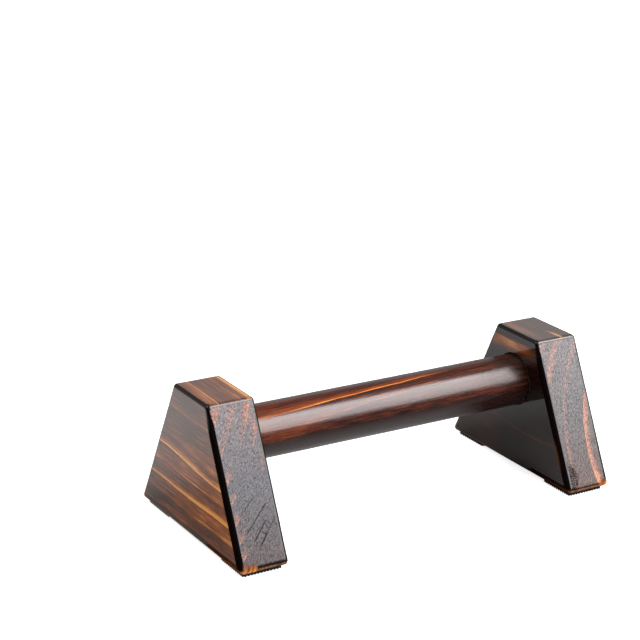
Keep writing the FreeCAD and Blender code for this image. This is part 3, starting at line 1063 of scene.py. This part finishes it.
def pad_tape(looks):
    """Foam tape: dark, with open cells in its cut edge."""
    paint = Paint("pad_tape")
    cells = paint.add("ShaderNodeTexVoronoi", {"Vector": paint.position, "Scale": 5.0})["Distance"]
    cloud = paint.noise(paint.position, 0.6, 3.0)
    darker = [0.6 * part for part in looks.tape]
    values = {
        "Base Color": paint.mix(cloud.span(0.35, 0.65), looks.tape, darker),
        "Roughness": cells.span(0.0, 0.8, 0.65, 0.9),
        "Specular IOR Level": 0.15,
        "Normal": paint.bump(cells * 0.08),
    }
    return paint.done(values)


# Properties


def length(name, description, default):
    limits = {"min": 0.0, "unit": "LENGTH", "precision": 5}
    return FloatProperty(name=name, description=description, default=default, **limits)


def angle(name, description, degrees):
    return FloatProperty(
        name=name, description=description, default=math.radians(degrees), unit="ROTATION"
    )


def brightness(name, description, default):
    return FloatProperty(name=name, description=description, default=default, min=0.0)


def colour(name, description, default):
    limits = {"size": 3, "min": 0.0, "max": 1.0, "subtype": "COLOR"}
    return FloatVectorProperty(name=name, description=description, default=default, **limits)


class BlockSizes(bpy.types.PropertyGroup):
    """Sizes of an end block"""

    base_length: length("Base", "Length of the underside before its edges are rounded", 0.155)
    crown_length: length("Crown", "Length of the top before its edges are rounded", 0.050)
    edge_radius: length("Edge Radius", "Round on every edge", 0.003)
    socket_depth: length("Socket Depth", "Depth of the bar's socket", 0.028)
    mouth_chamfer: length("Mouth Chamfer", "Chamfer round the socket's mouth", 0.0008)
    glue_gap: length("Glue Gap", "Room for glue round the bar", 0.0001)
    sink_radius: length("Countersink Radius", "Radius of the countersink in the underside", 0.00525)
    hole_radius: length("Hole Radius", "Radius of the screw's clearance hole", 0.0023)
    hole_patch: length("Hole Patch", "Half width of the grid drawn in round the screw hole", 0.008)
    sanding_wave: length("Sanding Wave", "Height of the slow swell left by sanding", 0.00002)


class BarSizes(bpy.types.PropertyGroup):
    """Sizes of the grip bar"""

    end_chamfer: length("End Chamfer", "Chamfer on each end", 0.001)
    turning_wave: length("Turning Wave", "Height of the slow swell left by turning", 0.00002)


class ScrewSizes(bpy.types.PropertyGroup):
    """Sizes of a bar screw"""

    head_rim: length("Head Rim", "Straight rim of the head", 0.0003)
    shank_diameter: length("Shank", "Diameter of the plain shank", 0.003)
    core_diameter: length("Core", "Diameter at the thread's root", 0.0026)
    thread_diameter: length("Thread", "Diameter over the thread", 0.0042)
    thread_length: length("Thread Length", "Length of the thread with its tip", 0.038)
    thread_pitch: length("Thread Pitch", "Rise of the thread in one turn", 0.0020)
    tip_length: length("Tip", "Length of the tapered tip", 0.005)
    drive_span: length("Drive Span", "Span of the cross recess", 0.0046)
    drive_wing: length("Drive Wing", "Width of the recess's wings", 0.0011)
    drive_depth: length("Drive Depth", "Depth of the recess", 0.0024)
    drive_floor_span: length("Drive Floor Span", "Span of the recess's floor", 0.0016)
    drive_floor_wing: length("Drive Floor Wing", "Width of the wings at the floor", 0.0007)
    drive_turn: angle("Drive Turn", "Turn of the recess about the screw", 18)


class FootSizes(bpy.types.PropertyGroup):
    """Sizes of a foot pad"""

    corner_radius: length("Corner Radius", "Round on the pad's corners", 0.0015)
    rib_pitch: length("Rib Pitch", "Distance between ribs", 0.0018)
    rib_crest: length("Rib Crest", "Width of a rib's crest", 0.0007)
    rib_flank: length("Rib Flank", "Width of a rib's sloping side", 0.00025)
    rib_depth: length("Rib Depth", "Depth of the grooves", 0.0006)
    rib_turn: angle("Rib Turn", "Angle of the ribs to the bar", 45)


class Finishes(bpy.types.PropertyGroup):
    """Colours of the stand's materials"""

    stain_dark: colour("Dark Stain", "Stained early wood", (0.016, 0.0055, 0.0035))
    stain_brown: colour("Brown Stain", "Wood between the rings", (0.075, 0.023, 0.008))
    stain_orange: colour("Orange Stain", "Soft side of a late-wood line", (0.30, 0.075, 0.014))
    stain_amber: colour("Amber Stain", "Late-wood line", (0.80, 0.34, 0.065))
    bar_dark: colour("Dark Bar", "Stained early wood of the bar", (0.014, 0.0035, 0.0022))
    bar_red: colour("Red Bar", "Wood between the bar's rings", (0.100, 0.018, 0.006))
    bar_orange: colour("Orange Bar", "Soft side of the bar's late-wood lines", (0.30, 0.065, 0.012))
    bar_amber: colour("Amber Bar", "Late-wood lines of the bar", (0.80, 0.28, 0.045))
    sanded_foot: colour("Sanded Foot", "Wood sanded bare along the lower edges", (0.86, 0.27, 0.028))
    # Near black: stain on the edges and in the cracks, and the colour of painted shade and painted dark
    # reflection
    stain_and_painted_shade: colour("Edges", "Stain gathered on the edges", (0.004, 0.002, 0.002))
    end_grain_pink: colour("End Grain Rings", "Rings in the end grain", (0.38, 0.190, 0.145))
    end_grain_orange: colour("End Grain Lines", "Late-wood lines in the end grain", (0.50, 0.245, 0.135))
    # Grey painted on the crown as the sheen of its lacquer
    painted_sheen_colour: colour("Scuffs", "Grey haze of fine scuffs on the crown", (0.16, 0.15, 0.148))
    # Pale grey painted round the socket's mouth as a highlight
    mouth_painted_highlight: colour("Lacquer Bead", "Lacquer gathered round the socket's mouth", (0.16, 0.13, 0.12))
    raw_wood: colour("Raw Wood", "Cut wood in the countersink", (0.62, 0.36, 0.16))
    rubber: colour("Rubber", "Foot pad", (0.007, 0.007, 0.0075))
    rubber_dust: colour("Rubber Dust", "Dusty crests of the ribs", (0.055, 0.055, 0.058))
    steel: colour("Steel", "Screw", (0.075, 0.090, 0.110))
    steel_dark: colour("Dark Steel", "Darker crystals on the screw", (0.025, 0.030, 0.038))
    tape: colour("Tape", "Double-sided tape", (0.012, 0.012, 0.012))


class Studio(bpy.types.PropertyGroup):
    """Floor and light of the stage"""

    floor_colour: colour("Floor", "Colour of the floor", (0.86, 0.86, 0.86))
    key_radiance: brightness("Key Light", "Brightness of the middle key panel", 7.5)
    fill_radiance: brightness("Fill Light", "Brightness of the fill panel", 2.6)


class Parallette(bpy.types.PropertyGroup):
    """All settings of the stand"""

    block: PointerProperty(type=BlockSizes)
    bar: PointerProperty(type=BarSizes)
    screw: PointerProperty(type=ScrewSizes)
    foot: PointerProperty(type=FootSizes)
    looks: PointerProperty(type=Finishes)
    studio: PointerProperty(type=Studio)


# Operators


class PARALLETTE_OT_end_blocks(bpy.types.Operator):
    """Builds both end blocks with their sockets and screw holes"""

    bl_idname = "parallette.end_blocks"
    bl_label = "End Blocks"

    def execute(self, context):
        stand = context.scene.parallette
        left = BlockFinish("left_block_wood", LEFT_BLOCK_WOOD, stand.looks).whole()
        right = BlockFinish("right_block_wood", RIGHT_BLOCK_WOOD, stand.looks).whole()
        surface = block_surface(stand.block)
        add_pair("lacquered_{}_block", surface, right, left, "{}_end_block")
        return {"FINISHED"}


class PARALLETTE_OT_grip_bar(bpy.types.Operator):
    """Builds the round grip bar"""

    bl_idname = "parallette.grip_bar"
    bl_label = "Grip Bar"

    def execute(self, context):
        stand = context.scene.parallette
        wood = bar_wood(stand.looks)
        add_piece("lacquered_grip_bar", bar_surface(stand.bar), wood, ["grip_bar"])
        return {"FINISHED"}


class PARALLETTE_OT_bar_screws(bpy.types.Operator):
    """Builds the two threaded screws that lock the bar"""

    bl_idname = "parallette.bar_screws"
    bl_label = "Bar Screws"

    def execute(self, context):
        stand = context.scene.parallette
        steel = screw_steel(stand.looks)
        surface = screw_surface(stand.screw)
        add_pair("threaded_{}_screw", surface, steel, steel, "{}_bar_screw")
        return {"FINISHED"}


class PARALLETTE_OT_foot_pads(bpy.types.Operator):
    """Builds the four ribbed rubber pads and finishes the tape above them"""

    bl_idname = "parallette.foot_pads"
    bl_label = "Foot Pads"

    def execute(self, context):
        stand = context.scene.parallette
        rubber = pad_rubber(stand.looks)
        tape = pad_tape(stand.looks)
        for place in FOOT_PLACES:
            node = f"{place}_foot_pad"
            low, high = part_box(node)
            add_piece(f"ribbed_{node}", foot_surface(low, high, stand.foot), rubber, [node])
            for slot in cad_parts[f"{place}_pad_tape"].material_slots:
                slot.material = tape
        return {"FINISHED"}


# Stage, in metres and degrees
FLOOR_REACH = 15.0
KEY_WAY, KEY_DISTANCE, KEY_SIZE, KEY_STEP = (0.496, -0.641, 0.586), 1.1, (1.0, 0.32), 0.316
FILL_WAY, FILL_DISTANCE, FILL_SIZE = (-0.6, 0.1, 0.8), 1.6, (1.2, 1.2)
FRONT_LEFT = (-0.62, -0.75, 0.25)
ROOM_LEVELS = ((0.0, 0.42), (0.45, 0.34), (0.8, 0.06), (1.0, 0.03))  # from behind to the front left
CAMERA_AZIMUTH, CAMERA_ELEVATION, CAMERA_ROLL = -31.57, 18.595, 1.179
CAMERA_AIM = (0.0, 0.0, 0.063)
CAMERA_BACK, CAMERA_RIGHT, CAMERA_UP = 1.38093, -0.04525, 0.07227
SENSOR_WIDTH, FOCAL_WIDTHS = 36.0, 1856.6 / 640.0  # millimetres, and widths of the picture


class PARALLETTE_OT_stage(bpy.types.Operator):
    """Sets the pale floor, the soft panels, the surrounding light and the camera"""

    bl_idname = "parallette.stage"
    bl_label = "Stage"

    def execute(self, context):
        studio = context.scene.parallette.studio
        self.lay_floor(context, studio)
        self.hang_panels(context, studio)
        self.surround(context)
        self.aim_camera(context)
        context.scene.view_settings.view_transform = "Standard"
        return {"FINISHED"}

    def lay_floor(self, context, studio):
        """Pale floor, almost white to the camera, that glossy faces see dimmed around the stand and, as
        painted light, glowing behind it on the left.
        """
        corners = [(a * FLOOR_REACH, b * FLOOR_REACH, 0.0) for a, b in ((-1, -1), (1, -1), (1, 1), (-1, 1))]
        mesh = bpy.data.meshes.new("floor")
        mesh.from_pydata(corners, [], [(0, 1, 2, 3)])
        shade = Paint("floor_paint")
        x, y, _ = shade.parts(shade.own)
        path = shade.add("ShaderNodeLightPath", {})
        glossy = path["Is Glossy Ray"]
        right = x.span(-0.21, -0.13, smooth=True)
        left = 1.0 - right
        glow = shade.length(shade.own).span(0.15, 1.4, 0.8, 0.9, smooth=True)
        # Painted light: glow that only reflections see, behind the stand on its left.
        behind = y.span(0.02, 0.25, 0.0, 0.66, smooth=True) * glossy * left
        dim = shade.most(
            y.span(0.22, 0.0, 0.0, 0.42, smooth=True) * right,  # under the stand
            y.span(0.1, -0.2, 0.0, 0.92, smooth=True) * right,  # in front of it
            y.span(0.14, -0.08, 0.16, 0.88, smooth=True) * left,  # in front, to its left
            x.span(0.04, 0.14, 0.0, 0.68) * y.span(0.1, 0.0),  # beside the right block
            y.span(0.32, 0.5, 0.0, 0.5, smooth=True) * right,  # far behind it
        )
        values = {
            "Base Color": shade.mix(dim * glossy, studio.floor_colour, BLACK),
            "Roughness": 0.9,
            "Specular IOR Level": 0.1,
            "Emission Color": glow * path["Is Camera Ray"] + behind,
            "Emission Strength": 1.0,
        }
        mesh.materials.append(shade.done(values))
        floor = bpy.data.objects.new("floor", mesh)
        context.scene.collection.objects.link(floor)

    def hang_panels(self, context, studio):
        """A key light of three panels, brighter upwards, and a fill light, all facing the bar."""
        key, fill = studio.key_radiance, studio.fill_radiance
        panels = (
            ("upper_key_panel", KEY_WAY, KEY_DISTANCE, KEY_SIZE, 1.25 * key, KEY_STEP),
            ("middle_key_panel", KEY_WAY, KEY_DISTANCE, KEY_SIZE, key, 0.0),
            ("lower_key_panel", KEY_WAY, KEY_DISTANCE, KEY_SIZE, 0.8 * key, -KEY_STEP),
            ("fill_panel", FILL_WAY, FILL_DISTANCE, FILL_SIZE, fill, 0.0),
        )
        target = Vector((0.0, 0.0, BAR_AXIS))
        for name, way, distance, (width, height), radiance, raised in panels:
            light = bpy.data.lights.new(name, "AREA")
            light.shape = "RECTANGLE"
            light.size = width
            light.size_y = height
            light.energy = math.pi * width * height * radiance
            panel = bpy.data.objects.new(name, light)
            place = target + Vector(way).normalized() * distance
            turn = (target - place).to_track_quat("-Z", "Y")
            panel.rotation_euler = turn.to_euler()
            panel.location = place + turn @ Vector((0.0, raised, 0.0))
            context.scene.collection.objects.link(panel)

    def surround(self, context):
        """A soft grey room, darker towards the front left, that the camera sees as white."""
        world = bpy.data.worlds.new("studio")
        world.use_nodes = True
        shade = Shading(world.node_tree)
        backdrop = next(node for node in world.node_tree.nodes if node.type == "BACKGROUND")
        way = shade.add("ShaderNodeTexCoord", {})["Generated"]
        facing = shade.vector("DOT_PRODUCT", way, tuple(Vector(FRONT_LEFT).normalized()))["Value"]
        rise = shade.parts(way)[2]
        room = shade.ramp(facing.span(-1.0, 1.0), [(place, (level,) * 3) for place, level in ROOM_LEVELS])
        sweep = facing.span(-0.2, -0.7) * rise.span(0.55, 0.25)
        above = facing.span(-0.1, -0.4) * rise.span(0.35, 0.6, 0.0, 0.5)
        level = shade.mix(above, shade.mix(sweep, room, (0.5, 0.5, 0.5)), BLACK)
        seen = shade.add("ShaderNodeLightPath", {})["Is Camera Ray"]
        shade.fill(backdrop.inputs, {"Color": shade.mix(seen, level, (1.0, 1.0, 1.0))})
        context.scene.world = world

    def aim_camera(self, context):
        """Camera in the photo's place: turned about the stand, rolled, and moved off its axis."""
        angles = (CAMERA_AZIMUTH, CAMERA_ELEVATION, CAMERA_ROLL)
        azimuth, elevation, roll = (math.radians(angle) for angle in angles)
        level = math.cos(elevation)
        back = Vector((math.sin(azimuth) * level, -math.cos(azimuth) * level, math.sin(elevation)))
        across = Vector((0.0, 0.0, 1.0)).cross(back).normalized()
        upward = back.cross(across)
        right = math.cos(roll) * across + math.sin(roll) * upward
        up = math.cos(roll) * upward - math.sin(roll) * across
        place = Vector(CAMERA_AIM) + CAMERA_BACK * back + CAMERA_RIGHT * right + CAMERA_UP * up
        lens = bpy.data.cameras.new("camera")
        lens.sensor_width = SENSOR_WIDTH
        lens.lens = SENSOR_WIDTH * FOCAL_WIDTHS
        lens.clip_start = 0.01
        lens.clip_end = 100.0
        camera = bpy.data.objects.new("camera", lens)
        turn = Matrix((right, up, back)).transposed()
        camera.matrix_world = Matrix.Translation(place) @ turn.to_4x4()
        context.scene.collection.objects.link(camera)
        context.scene.camera = camera


class PARALLETTE_PT_stand(bpy.types.Panel):
    """Lists the steps that build the stand"""

    bl_label = "Parallette"
    bl_idname = "PARALLETTE_PT_stand"
    bl_space_type = "VIEW_3D"
    bl_region_type = "UI"
    bl_category = "Parallette"

    def draw(self, context):
        for step in STEPS:
            self.layout.operator(step.bl_idname)


STEPS = (
    PARALLETTE_OT_end_blocks,
    PARALLETTE_OT_grip_bar,
    PARALLETTE_OT_bar_screws,
    PARALLETTE_OT_foot_pads,
    PARALLETTE_OT_stage,
)
CLASSES = (
    BlockSizes,
    BarSizes,
    ScrewSizes,
    FootSizes,
    Finishes,
    Studio,
    Parallette,
    *STEPS,
    PARALLETTE_PT_stand,
)


def register():
    for kind in CLASSES:
        bpy.utils.register_class(kind)
    bpy.types.Scene.parallette = PointerProperty(type=Parallette)


def unregister():
    del bpy.types.Scene.parallette
    for kind in reversed(CLASSES):
        bpy.utils.unregister_class(kind)


def main():
    """Builds every piece and the stage."""
    register()
    bpy.ops.parallette.end_blocks()
    bpy.ops.parallette.grip_bar()
    bpy.ops.parallette.bar_screws()
    bpy.ops.parallette.foot_pads()
    bpy.ops.parallette.stage()


if __name__ == "__main__":
    main()
